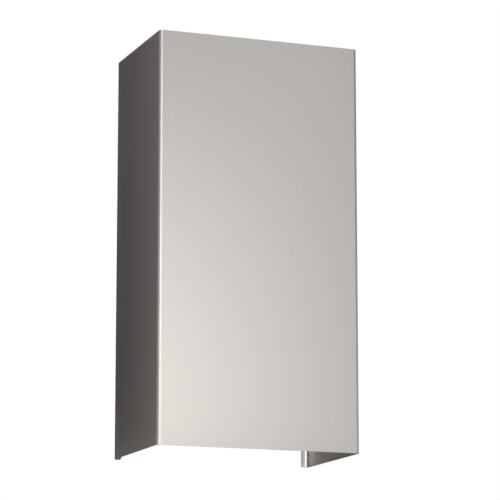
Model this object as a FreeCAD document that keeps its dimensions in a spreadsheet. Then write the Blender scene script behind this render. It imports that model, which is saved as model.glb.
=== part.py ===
# Cooker hood chimney section: one stainless sheet folded into a channel.
#
# The front and the two sides form a channel that is open at the top, the bottom and the back.
# At the back each side turns inwards into a narrow return lip, which stiffens the long edge and
# lies against the wall. All four folds share one inside radius, so the sheet keeps its thickness.
#
# Millimetres. Origin under the middle of the box around the section, +X to the right,
# +Y towards the wall, +Z up. The front faces -Y.

import FreeCAD, Part
import math
import os
import Sketcher

NODE = "chimney_section"

# Driving sizes: alias, value, what it measures.
SIZES = [
    ("height", 500.0, "bottom edge to top edge"),
    ("width", 256.0, "across the outer faces of the two sides"),
    ("depth", 167.0, "outer face of the front to the wall side of the lips"),
    ("lip", 9.5, "reach of a return lip, from the outer face of its side"),
    ("thickness", 0.8, "stainless sheet"),
    ("bend_radius", 4.0, "inside radius of the four folds"),
    ("lip_corner", 2.5, "rounding of the free corners of the lips"),
]

# The points of a sketch element, in the order in which a sketch numbers them.
POINTS = ("whole", "start", "end", "centre")

# How closely an edge has to lie to the place it is looked for at.
NEAR = 1e-4


def make_sizes(doc):
    """The spreadsheet that holds the driving sizes, one aliased cell each."""
    sheet = doc.addObject("Spreadsheet::Sheet", "Sizes")
    for row, (alias, value, note) in enumerate(SIZES, start=1):
        sheet.set(f"A{row}", alias)
        sheet.set(f"B{row}", str(value))
        sheet.setAlias(f"B{row}", alias)
        sheet.set(f"C{row}", note)
    doc.recompute()
    return sheet


def origin_plane(body, role):
    """One of the body's own origin planes, found by its role."""
    return next(f for f in body.Origin.OriginFeatures if f.Role == role)


def line(x0, y0, x1, y1):
    return Part.LineSegment(FreeCAD.Vector(x0, y0, 0), FreeCAD.Vector(x1, y1, 0))


def quarter(x, y, radius, first_quadrant):
    """A quarter circle on the +X side of its centre: above it, or below it."""
    circle = Part.Circle(FreeCAD.Vector(x, y, 0), FreeCAD.Vector(0, 0, 1), radius)
    start = 0 if first_quadrant else -math.pi / 2
    return Part.ArcOfCircle(circle, start, start + math.pi / 2)


def section_elements(sheet):
    """The right half of the folded section, as named lines and arcs in their nominal places."""
    side, back = sheet.width / 2, sheet.depth / 2
    outer, inner = sheet.bend_radius + sheet.thickness, sheet.bend_radius
    fold_x, fold_y = side - outer, back - outer
    lip_end = side - sheet.lip
    return {
        "front_outer": line(0, -back, fold_x, -back),
        "front_fold_outer": quarter(fold_x, -fold_y, outer, False),
        "side_outer": line(side, -fold_y, side, fold_y),
        "rear_fold_outer": quarter(fold_x, fold_y, outer, True),
        "lip_outer": line(fold_x, back, lip_end, back),
        "lip_edge": line(lip_end, back, lip_end, back - sheet.thickness),
        "lip_inner": line(lip_end, back - sheet.thickness, fold_x, back - sheet.thickness),
        "rear_fold_inner": quarter(fold_x, fold_y, inner, True),
        "side_inner": line(side - sheet.thickness, fold_y, side - sheet.thickness, -fold_y),
        "front_fold_inner": quarter(fold_x, -fold_y, inner, False),
        "front_inner": line(fold_x, -back + sheet.thickness, 0, -back + sheet.thickness),
        "middle": line(0, -back + sheet.thickness, 0, -back),
    }


def draw_section(body, sheet):
    """The half section as a fully constrained sketch whose dimensions follow the driving sizes."""
    sketch = body.newObject("Sketcher::SketchObject", "half_section")
    sketch.AttachmentSupport = (origin_plane(body, "XY_Plane"), [""])
    sketch.MapMode = "FlatFace"
    at = {name: sketch.addGeometry(shape, False) for name, shape in section_elements(sheet).items()}

    # The sketch's origin is the first point of its element -1, the horizontal axis.
    origin = (-1, POINTS.index("start"))

    def point(name, where):
        return at[name], POINTS.index(where)

    def tie(kind, *what):
        return sketch.addConstraint(Sketcher.Constraint(kind, *what))

    def dimension(name, expression, kind, *what):
        sketch.renameConstraint(tie(kind, *what), name)
        sketch.setExpression(f"Constraints.{name}", expression)

    # Each flat runs smoothly into its folds, on the outer and on the inner face of the sheet.
    for first, first_end, second, second_end in (
        ("front_outer", "end", "front_fold_outer", "start"),
        ("front_fold_outer", "end", "side_outer", "start"),
        ("side_outer", "end", "rear_fold_outer", "start"),
        ("rear_fold_outer", "end", "lip_outer", "start"),
        ("lip_inner", "end", "rear_fold_inner", "end"),
        ("rear_fold_inner", "start", "side_inner", "start"),
        ("side_inner", "end", "front_fold_inner", "end"),
        ("front_fold_inner", "start", "front_inner", "start"),
    ):
        tie("Tangent", *point(first, first_end), *point(second, second_end))

    # The cut edge of the lip and the line of symmetry close the outline.
    for first, second in (
        ("lip_outer", "lip_edge"),
        ("lip_edge", "lip_inner"),
        ("front_inner", "middle"),
        ("middle", "front_outer"),
    ):
        tie("Coincident", *point(first, "end"), *point(second, "start"))
    tie("Vertical", *origin, *point("front_outer", "start"))

    for name in ("front_outer", "front_inner", "lip_outer", "lip_inner"):
        tie("Horizontal", at[name])
    for name in ("side_outer", "side_inner", "lip_edge", "middle"):
        tie("Vertical", at[name])

    # The two faces of a fold turn about one centre, so the sheet stays equally thick round it.
    for fold in ("front_fold", "rear_fold"):
        tie("Coincident", *point(f"{fold}_outer", "centre"), *point(f"{fold}_inner", "centre"))
    tie("Equal", at["front_fold_inner"], at["rear_fold_inner"])

    front, inside = point("front_outer", "start"), point("front_inner", "end")
    side, wall = point("side_outer", "end"), point("lip_outer", "end")
    half_width, half_depth = sheet.width / 2, sheet.depth / 2
    dimension("half_width", "Sizes.width / 2", "DistanceX", *origin, *side, half_width)
    dimension("front_reach", "Sizes.depth / 2", "DistanceY", *front, *origin, half_depth)
    dimension("wall_reach", "Sizes.depth / 2", "DistanceY", *origin, *wall, half_depth)
    dimension("lip_reach", "Sizes.lip", "DistanceX", *wall, *side, sheet.lip)
    dimension("sheet", "Sizes.thickness", "DistanceY", *front, *inside, sheet.thickness)
    dimension("fold", "Sizes.bend_radius", "Radius", at["front_fold_inner"], sheet.bend_radius)
    return sketch


def lip_corner_edges(shape, sheet):
    """Names of the short edges through the sheet at the free corners of the lips."""
    reach = sheet.width / 2 - sheet.lip
    found = []
    for number, edge in enumerate(shape.Edges, start=1):
        middle = edge.CenterOfMass
        on_lip_edge = math.isclose(abs(middle.x), reach, abs_tol=NEAR) and middle.y > 0
        if on_lip_edge and math.isclose(edge.Length, sheet.thickness, abs_tol=NEAR):
            found.append(f"Edge{number}")
    return found


def fold_chimney(doc, sheet):
    """The folded sheet: half its section raised to the height, mirrored, its lip corners rounded."""
    body = doc.addObject("PartDesign::Body", NODE)
    body.Label = NODE
    body.Placement = FreeCAD.Placement()

    half = body.newObject("PartDesign::Pad", "half_channel")
    half.Profile = draw_section(body, sheet)
    half.setExpression("Length", "Sizes.height")
    doc.recompute()

    whole = body.newObject("PartDesign::Mirrored", "whole_channel")
    whole.Originals = [half]
    whole.MirrorPlane = (origin_plane(body, "YZ_Plane"), [""])
    body.Tip = whole
    doc.recompute()

    corners = body.newObject("PartDesign::Fillet", "lip_corners")
    corners.Base = (whole, lip_corner_edges(whole.Shape, sheet))
    corners.setExpression("Radius", "Sizes.lip_corner")
    body.Tip = corners
    doc.recompute()
    return body


def check(doc, bodies):
    """Stops the build if anything in the document failed, or a piece isn't one closed, valid solid."""
    for item in doc.Objects:
        if "Invalid" in item.State or "Error" in item.State:
            raise RuntimeError(f"{item.Name} failed: {item.State}")
    for body in bodies:
        shape = body.Shape
        if shape.isNull() or not shape.isValid() or len(shape.Solids) != 1:
            raise RuntimeError(f"{body.Label} isn't one valid solid")


def main():
    doc = FreeCAD.newDocument("cooker_hood_chimney")
    sheet = make_sizes(doc)
    bodies = [fold_chimney(doc, sheet)]
    doc.recompute()
    check(doc, bodies)
    os.makedirs("parts", exist_ok=True)
    for body in bodies:
        body.Shape.exportStep(f"parts/{body.Label}.step")


main()
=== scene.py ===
import math

import bmesh
import bpy
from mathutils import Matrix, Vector


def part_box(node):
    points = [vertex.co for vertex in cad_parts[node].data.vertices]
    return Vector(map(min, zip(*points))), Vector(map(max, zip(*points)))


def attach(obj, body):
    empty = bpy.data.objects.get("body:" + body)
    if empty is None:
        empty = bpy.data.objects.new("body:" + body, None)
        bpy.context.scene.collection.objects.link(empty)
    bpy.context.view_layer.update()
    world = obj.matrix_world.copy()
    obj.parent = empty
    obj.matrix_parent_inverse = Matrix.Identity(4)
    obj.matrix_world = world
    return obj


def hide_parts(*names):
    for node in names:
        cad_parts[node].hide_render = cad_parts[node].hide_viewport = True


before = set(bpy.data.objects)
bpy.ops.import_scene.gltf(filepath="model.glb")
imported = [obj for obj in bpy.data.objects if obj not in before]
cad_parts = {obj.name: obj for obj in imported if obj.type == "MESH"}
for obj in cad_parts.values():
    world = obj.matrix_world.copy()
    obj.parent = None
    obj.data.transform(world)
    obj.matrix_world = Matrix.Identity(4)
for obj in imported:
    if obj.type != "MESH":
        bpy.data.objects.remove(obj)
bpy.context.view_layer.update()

# Cooker hood chimney section: one stainless sheet folded into a channel, in metres, in the CAD frame.
# The front faces -Y, the open back with its two return lips +Y, and the bottom edge stands at z = 0.

NODE = "chimney_section"

# The folded sheet.
SHEET = 0.0008
FOLD_RADIUS = 0.004
FOLD_SEGMENTS = 16
LIP = 0.0095
LIP_CORNER = 0.0025
LIP_CORNER_SEGMENTS = 8
EDGE_BREAK = 0.00012
EDGE_BREAK_SEGMENTS = 2

# Faces of the sheet, as material slots.
OUTER, INNER, CUT = 0, 1, 2

# Weight of large faces in the shading: flats keep their own normal up to the folds and edge breaks.
FLAT_WEIGHT = 100

# Sizes of the finishes' patterns.
# Grit lines are about 0.1 mm wide; they are drawn 0.7 mm wide, so that they just show.
GRIT_WIDTH = 0.0007
GRIT_LENGTH = 0.09
GRIT_DEPTH = 0.00004
ROLL_CLOUD = 0.04
SHEAR_MARK = 0.002

# Most of a noise pattern lies between these two values.
NOISE_LOW = 0.3
NOISE_HIGH = 0.7

# The camera looks up at the section from below, from its left.
VIEW_TURN = math.radians(20.6)
VIEW_RISE = math.radians(11.1)
VIEW_DISTANCE = 3.141
VIEW_AIM_RIGHT = 0.01745
VIEW_AIM_UP = 0.25447
VIEW_LENS_MM = 184.18

# The studio's floor, which fades to white between two distances from the section.
FLOOR_DROP = 0.0004
FLOOR_SIZE = 60.0
FLOOR_FADE_START = 0.7
FLOOR_FADE_END = 2.6

# A lamp inside, narrowed to the part of the right lip that the photograph shows.
SLIT_LAMP_AT = (0.0822, -0.0645, 0.025)
SLIT_LAMP_AIM = (0.122, 0.0801, 0.008)
SLIT_LAMP_SIZE = (0.007, 0.045)
SLIT_LAMP_SPREAD = math.radians(2.5)
SLIT_LAMP_WATTS = 0.0011

# Glowing cards that only reflections see, which paint the reflections on the steel, each stretched
# between two upright lines over the floor.
# A line has a level at its foot and one at its top; 1.0 is as bright as the white room.
CARD_CUTS = 7
FRONT_CARD_Y = -0.75
FRONT_CARD_TOP = 0.85
# The strip at the left end of the front card glows brightest and paints the highlight along the left
# fold.
STRIP_LEVELS = (4.6, 6.2)
PANEL_LEFT_X = -0.35
PANEL_RIGHT_X = 0.05
PANEL_LEVELS = (2.26, 0.26)
PANEL_END_X = 0.50
PANEL_END_LEVELS = (0.28, 1.26)
LEFT_CARD_X = -0.70
LEFT_CARD_FAR_Y = 2.1
LEFT_CARD_TOP = 2.5
LEFT_CARD_LEVELS = (0.38, 0.38)
# The dark card glows near black and paints dark reflections into the steel.
DARK_CARD_Y = 3.0
DARK_CARD_END_X = 0.3
DARK_CARD_LEVELS = (0.008, 0.008)
# The side card, dark grey, paints the dark reflection on the section's left side.
SIDE_CARD_X = -0.25
SIDE_CARD_FRONT_Y = 0.066
SIDE_CARD_REAR_Y = 0.486
SIDE_CARD_TOP = 0.9
SIDE_CARD_FRONT_LEVELS = (0.08, 0.115)
SIDE_CARD_REAR_LEVELS = (0.06, 0.175)
RIGHT_CARD_X = 1.84
RIGHT_CARD_NEAR_Y = -0.18
RIGHT_CARD_FAR_Y = 5.0
RIGHT_CARD_TOP = 1.3
RIGHT_CARD_LEVELS = (0.3, 0.3)
CORNER_CARD_LEVELS = (0.62, 0.22)

# Colours of the studio: the room and most cards are white, those along the left side faintly rose, which
# paints a faint rose tint into the reflections on the section's left side.
WHITE = "#ffffff"
ROSE = "#fff7fb"


def linear(hex_colour):
    """An sRGB hex colour as linear red, green, blue and alpha."""
    def channel(place):
        value = int(hex_colour[place:place + 2], 16) / 255
        return value / 12.92 if value <= 0.04045 else ((value + 0.055) / 1.055) ** 2.4
    return (channel(1), channel(3), channel(5), 1.0)


def add_node(tree, kind, inputs=None, **settings):
    """Adds a node, with its settings; an input is a value, or the output that it is linked from."""
    made = tree.nodes.new(kind)
    for name, value in settings.items():
        setattr(made, name, value)
    for socket, value in (inputs or {}).items():
        if isinstance(value, bpy.types.NodeSocket):
            tree.links.new(value, made.inputs[socket])
        else:
            made.inputs[socket].default_value = value
    return made


def new_material(name):
    """An empty material with its output node."""
    material = bpy.data.materials.new(name)
    material.use_nodes = True
    tree = material.node_tree
    tree.nodes.clear()
    return material, tree, tree.nodes.new("ShaderNodeOutputMaterial")


def mesh_object(name, mesh, materials):
    """A finished bmesh as an object of the scene, with its materials."""
    data = bpy.data.meshes.new(name)
    mesh.to_mesh(data)
    mesh.free()
    for material in materials:
        data.materials.append(material)
    made = bpy.data.objects.new(name, data)
    bpy.context.scene.collection.objects.link(made)
    return made


def satin_brushed_stainless():
    """Stainless sheet with a satin brushed face, the grain along the height.

    A warm grey that spreads reflections sideways, across the grain, with faint upright streaks.
    """
    material, tree, output = new_material("satin_brushed_stainless")
    place = add_node(tree, "ShaderNodeTexCoord").outputs["Object"]
    stretch = add_node(tree, "ShaderNodeMapping", {
        "Vector": place, "Scale": (1 / GRIT_WIDTH, 1 / GRIT_WIDTH, 1 / GRIT_LENGTH),
    })
    grain = add_node(tree, "ShaderNodeTexNoise", {
        "Vector": stretch.outputs["Vector"], "Scale": 1.0, "Detail": 3.0, "Roughness": 0.6,
    })
    colour = add_node(tree, "ShaderNodeMix", {
        "Factor": grain.outputs["Fac"], "A": linear("#c3bfba"), "B": linear("#ccc7c3"),
    }, data_type="RGBA")
    rough = add_node(tree, "ShaderNodeMapRange", {
        "Value": grain.outputs["Fac"], "From Min": NOISE_LOW, "From Max": NOISE_HIGH,
        "To Min": 0.37, "To Max": 0.41,
    })
    across = add_node(tree, "ShaderNodeVectorMath", {
        0: add_node(tree, "ShaderNodeNewGeometry").outputs["Normal"], 1: (0, 0, 1),
    }, operation="CROSS_PRODUCT")
    bump = add_node(tree, "ShaderNodeBump", {
        "Height": grain.outputs["Fac"], "Strength": 0.15, "Distance": GRIT_DEPTH,
    })
    steel = add_node(tree, "ShaderNodeBsdfPrincipled", {
        "Base Color": colour.outputs["Result"], "Metallic": 1.0, "Roughness": rough.outputs["Result"],
        "Anisotropic": 0.32, "Tangent": across.outputs["Vector"], "Normal": bump.outputs["Normal"],
    })
    tree.links.new(steel.outputs["BSDF"], output.inputs["Surface"])
    return material


def mill_finish_with_painted_shade():
    """The unbrushed back of the sheet, as it leaves the rolls: duller, with faint clouds and no grain;
    its grey is darker than the brushed face, partly the finish and partly painted shade for the inside of
    the channel.
    """
    material, tree, output = new_material("mill_finish_with_painted_shade")
    place = add_node(tree, "ShaderNodeTexCoord").outputs["Object"]
    cloud = add_node(tree, "ShaderNodeTexNoise", {
        "Vector": place, "Scale": 1 / ROLL_CLOUD, "Detail": 4.0,
    })
    # Greys below the brushed face's: partly the mill finish, partly painted shade inside the channel.
    colour = add_node(tree, "ShaderNodeMix", {
        "Factor": cloud.outputs["Fac"], "A": linear("#b4b1ad"), "B": linear("#bcb9b5"),
    }, data_type="RGBA")
    rough = add_node(tree, "ShaderNodeMapRange", {
        "Value": cloud.outputs["Fac"], "From Min": NOISE_LOW, "From Max": NOISE_HIGH,
        "To Min": 0.52, "To Max": 0.60,
    })
    steel = add_node(tree, "ShaderNodeBsdfPrincipled", {
        "Base Color": colour.outputs["Result"], "Metallic": 1.0, "Roughness": rough.outputs["Result"],
    })
    tree.links.new(steel.outputs["BSDF"], output.inputs["Surface"])
    return material


def sheared_stainless_edge():
    """The cut edge of the sheet, sheared and deburred: bright, in turn smoother and rougher along it."""
    material, tree, output = new_material("sheared_stainless_edge")
    place = add_node(tree, "ShaderNodeTexCoord").outputs["Object"]
    marks = add_node(tree, "ShaderNodeTexNoise", {
        "Vector": place, "Scale": 1 / SHEAR_MARK, "Detail": 2.0,
    })
    rough = add_node(tree, "ShaderNodeMapRange", {
        "Value": marks.outputs["Fac"], "From Min": NOISE_LOW, "From Max": NOISE_HIGH,
        "To Min": 0.35, "To Max": 0.5,
    })
    steel = add_node(tree, "ShaderNodeBsdfPrincipled", {
        "Base Color": linear("#c4c0bc"), "Metallic": 1.0, "Roughness": rough.outputs["Result"],
    })
    tree.links.new(steel.outputs["BSDF"], output.inputs["Surface"])
    return material


def fold_sheet():
    """The sheet: an outline raised to the height, its lip corners and folds rounded, then thickened."""
    low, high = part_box(NODE)
    lip_end = high.x - LIP
    outline = [(lip_end, high.y), (high.x, high.y), (high.x, low.y),
               (low.x, low.y), (low.x, high.y), (-lip_end, high.y)]
    mesh = bmesh.new()
    points = [mesh.verts.new((x, y, low.z)) for x, y in outline]
    strip = [mesh.edges.new(pair) for pair in zip(points, points[1:])]
    raised = bmesh.ops.extrude_edge_only(mesh, edges=strip)["geom"]
    top = [item for item in raised if isinstance(item, bmesh.types.BMVert)]
    bmesh.ops.translate(mesh, verts=top, vec=(0, 0, high.z - low.z))

    lip_corners = [corner for corner in mesh.verts if abs(corner.co.x) < lip_end + SHEET]
    bmesh.ops.bevel(mesh, geom=lip_corners, offset=LIP_CORNER, offset_type="OFFSET", affect="VERTICES",
                    segments=LIP_CORNER_SEGMENTS, profile=0.5, material=-1)
    folds = [edge for edge in mesh.edges if len(edge.link_faces) == 2]
    bmesh.ops.bevel(mesh, geom=folds, offset=FOLD_RADIUS + SHEET, offset_type="OFFSET", affect="EDGES",
                    segments=FOLD_SEGMENTS, profile=0.5, material=-1)

    outer = set(mesh.faces)
    bmesh.ops.solidify(mesh, geom=mesh.faces[:], thickness=SHEET)
    outer_points = {point for face in outer for point in face.verts}
    for face in mesh.faces:
        if face in outer:
            face.material_index = OUTER
        else:
            face.material_index = CUT if outer_points.intersection(face.verts) else INNER

    cut_edges = []
    for edge in mesh.edges:
        finishes = {face.material_index for face in edge.link_faces}
        if CUT in finishes and len(finishes) > 1:
            cut_edges.append(edge)
    bmesh.ops.bevel(mesh, geom=cut_edges, offset=EDGE_BREAK, offset_type="OFFSET", affect="EDGES",
                    segments=EDGE_BREAK_SEGMENTS, profile=0.5, material=-1)
    for face in mesh.faces:
        face.smooth = True
    return mesh


def make_sheet():
    """The folded sheet in its three finishes, in place of the plain solid."""
    finishes = (satin_brushed_stainless(), mill_finish_with_painted_shade(), sheared_stainless_edge())
    sheet = mesh_object("folded_sheet", fold_sheet(), finishes)
    sheet.modifiers.new("flat_faces", "WEIGHTED_NORMAL").weight = FLAT_WEIGHT
    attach(sheet, "root")
    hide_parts(NODE)


def studio_floor():
    """A pale floor that holds the shadow and fades to white far off; from below it isn't there."""
    material, tree, output = new_material("pale_floor")
    place = add_node(tree, "ShaderNodeTexCoord").outputs["Object"]
    distance = add_node(tree, "ShaderNodeVectorMath", {0: place}, operation="LENGTH")
    fade = add_node(tree, "ShaderNodeMapRange", {
        "Value": distance.outputs["Value"], "From Min": FLOOR_FADE_START, "From Max": FLOOR_FADE_END,
    }, interpolation_type="SMOOTHSTEP")
    paint = add_node(tree, "ShaderNodeBsdfDiffuse", {"Color": linear("#efeeec")})
    white = add_node(tree, "ShaderNodeEmission", {"Color": linear(WHITE), "Strength": 1.0})
    rays = add_node(tree, "ShaderNodeLightPath")
    mirrored = add_node(tree, "ShaderNodeMath", {
        0: rays.outputs["Is Glossy Ray"], 1: rays.outputs["Is Transmission Ray"],
    }, operation="MAXIMUM")
    seen = add_node(tree, "ShaderNodeMath", {
        0: rays.outputs["Is Camera Ray"], 1: mirrored.outputs["Value"],
    }, operation="MAXIMUM")
    far = add_node(tree, "ShaderNodeMath", {
        0: fade.outputs["Result"], 1: seen.outputs["Value"],
    }, operation="MULTIPLY")
    top = add_node(tree, "ShaderNodeMixShader", {
        0: far.outputs["Value"], 1: paint.outputs["BSDF"], 2: white.outputs["Emission"],
    })
    open_below = add_node(tree, "ShaderNodeMixShader", {
        0: add_node(tree, "ShaderNodeNewGeometry").outputs["Backfacing"], 1: top.outputs["Shader"],
        2: add_node(tree, "ShaderNodeBsdfTransparent").outputs["BSDF"],
    })
    tree.links.new(open_below.outputs["Shader"], output.inputs["Surface"])

    mesh = bmesh.new()
    bmesh.ops.create_grid(mesh, x_segments=1, y_segments=1, size=FLOOR_SIZE / 2)
    bmesh.ops.translate(mesh, verts=mesh.verts, vec=(0, 0, -FLOOR_DROP))
    floor = mesh_object("floor", mesh, [material])


def white_room():
    """White all round, for the eye, for reflections and as light."""
    world = bpy.data.worlds.new("white_room")
    bpy.context.scene.world = world
    world.use_nodes = True
    tree = world.node_tree
    tree.nodes.clear()
    white = add_node(tree, "ShaderNodeBackground", {"Color": linear(WHITE), "Strength": 1.0})
    output = tree.nodes.new("ShaderNodeOutputWorld")
    tree.links.new(white.outputs["Background"], output.inputs["Surface"])


def slit_lamp():
    """A narrow lamp behind the front, on the right lip and its fold, which stay dark without it."""
    data = bpy.data.lights.new("slit_lamp", "AREA")
    data.shape = "RECTANGLE"
    data.size, data.size_y = SLIT_LAMP_SIZE
    data.spread = SLIT_LAMP_SPREAD
    data.energy = SLIT_LAMP_WATTS
    lamp = bpy.data.objects.new("slit_lamp", data)
    lamp.location = SLIT_LAMP_AT
    facing = Vector(SLIT_LAMP_AIM) - Vector(SLIT_LAMP_AT)
    lamp.rotation_euler = facing.to_track_quat("-Z", "Y").to_euler()
    lamp.visible_camera = False
    lamp.visible_diffuse = False
    bpy.context.scene.collection.objects.link(lamp)


def upright(x, y, top, levels):
    """An upright line over a point of the floor: its foot and its top, each with its level."""
    return ((x, y, 0), levels[0]), ((x, y, top), levels[1])


def reflection_glow_cards():
    """Glowing cards round the section, seen only in reflections, which paint its reflections: bright
    before its front, grey to dark along its sides.
    """
    material, tree, output = new_material("reflection_glow_card")
    tone = add_node(tree, "ShaderNodeVertexColor", layer_name="tone")
    # Each card glows at its tone, a painted reflection on the steel, though it is no lamp.
    reflection_glow = add_node(tree, "ShaderNodeEmission", {"Color": tone.outputs["Color"], "Strength": 1.0})
    tree.links.new(reflection_glow.outputs["Emission"], output.inputs["Surface"])
    material.cycles.emission_sampling = "NONE"

    strip = upright(LEFT_CARD_X, FRONT_CARD_Y, FRONT_CARD_TOP, STRIP_LEVELS)
    panel_left = upright(PANEL_LEFT_X, FRONT_CARD_Y, FRONT_CARD_TOP, PANEL_LEVELS)
    panel_right = upright(PANEL_RIGHT_X, FRONT_CARD_Y, FRONT_CARD_TOP, PANEL_LEVELS)
    panel_end = upright(PANEL_END_X, FRONT_CARD_Y, FRONT_CARD_TOP, PANEL_END_LEVELS)
    left_near = upright(LEFT_CARD_X, FRONT_CARD_Y, LEFT_CARD_TOP, LEFT_CARD_LEVELS)
    left_far = upright(LEFT_CARD_X, LEFT_CARD_FAR_Y, LEFT_CARD_TOP, LEFT_CARD_LEVELS)
    dark_near = upright(LEFT_CARD_X, LEFT_CARD_FAR_Y, LEFT_CARD_TOP, DARK_CARD_LEVELS)
    dark_corner = upright(LEFT_CARD_X, DARK_CARD_Y, LEFT_CARD_TOP, DARK_CARD_LEVELS)
    dark_end = upright(DARK_CARD_END_X, DARK_CARD_Y, LEFT_CARD_TOP, DARK_CARD_LEVELS)
    side_front = upright(SIDE_CARD_X, SIDE_CARD_FRONT_Y, SIDE_CARD_TOP, SIDE_CARD_FRONT_LEVELS)
    side_rear = upright(SIDE_CARD_X, SIDE_CARD_REAR_Y, SIDE_CARD_TOP, SIDE_CARD_REAR_LEVELS)
    corner_left = upright(PANEL_END_X, FRONT_CARD_Y, RIGHT_CARD_TOP, CORNER_CARD_LEVELS)
    corner_right = upright(RIGHT_CARD_X, RIGHT_CARD_NEAR_Y, RIGHT_CARD_TOP, CORNER_CARD_LEVELS)
    right_near = upright(RIGHT_CARD_X, RIGHT_CARD_NEAR_Y, RIGHT_CARD_TOP, RIGHT_CARD_LEVELS)
    right_far = upright(RIGHT_CARD_X, RIGHT_CARD_FAR_Y, RIGHT_CARD_TOP, RIGHT_CARD_LEVELS)

    mesh = bmesh.new()
    tones = mesh.verts.layers.float_color.new("tone")
    for tint, start, end in (
        (WHITE, strip, panel_left),
        (WHITE, panel_left, panel_right),
        (WHITE, panel_right, panel_end),
        (ROSE, left_near, left_far),
        (WHITE, dark_near, dark_corner),
        (WHITE, dark_corner, dark_end),
        (ROSE, side_front, side_rear),
        (WHITE, corner_left, corner_right),
        (WHITE, right_near, right_far),
    ):
        corners = []
        for place, level in start + end[::-1]:
            corner = mesh.verts.new(place)
            corner[tones] = [level * part for part in linear(tint)[:3]] + [1.0]
            corners.append(corner)
        mesh.faces.new(corners)
    bmesh.ops.subdivide_edges(mesh, edges=mesh.edges[:], cuts=CARD_CUTS, use_grid_fill=True)
    cards = mesh_object("reflection_glow_cards", mesh, [material])
    cards.visible_camera = False
    cards.visible_diffuse = False
    cards.visible_transmission = False
    cards.visible_shadow = False


def place_camera():
    """The camera at the photograph's angle: turned from the front to the left, and looking up."""
    right = Vector((math.cos(VIEW_TURN), -math.sin(VIEW_TURN), 0))
    level = Vector((math.sin(VIEW_TURN), math.cos(VIEW_TURN), 0))
    forward = level * math.cos(VIEW_RISE) + Vector((0, 0, math.sin(VIEW_RISE)))
    aim = right * VIEW_AIM_RIGHT + Vector((0, 0, VIEW_AIM_UP))
    data = bpy.data.cameras.new("camera")
    data.lens = VIEW_LENS_MM
    data.clip_end = FLOOR_SIZE
    camera = bpy.data.objects.new("camera", data)
    camera.location = aim - forward * VIEW_DISTANCE
    camera.rotation_euler = forward.to_track_quat("-Z", "Y").to_euler()
    bpy.context.scene.collection.objects.link(camera)
    bpy.context.scene.camera = camera


make_sheet()
studio_floor()
white_room()
slit_lamp()
reflection_glow_cards()
place_camera()
bpy.context.scene.view_settings.view_transform = "Standard"
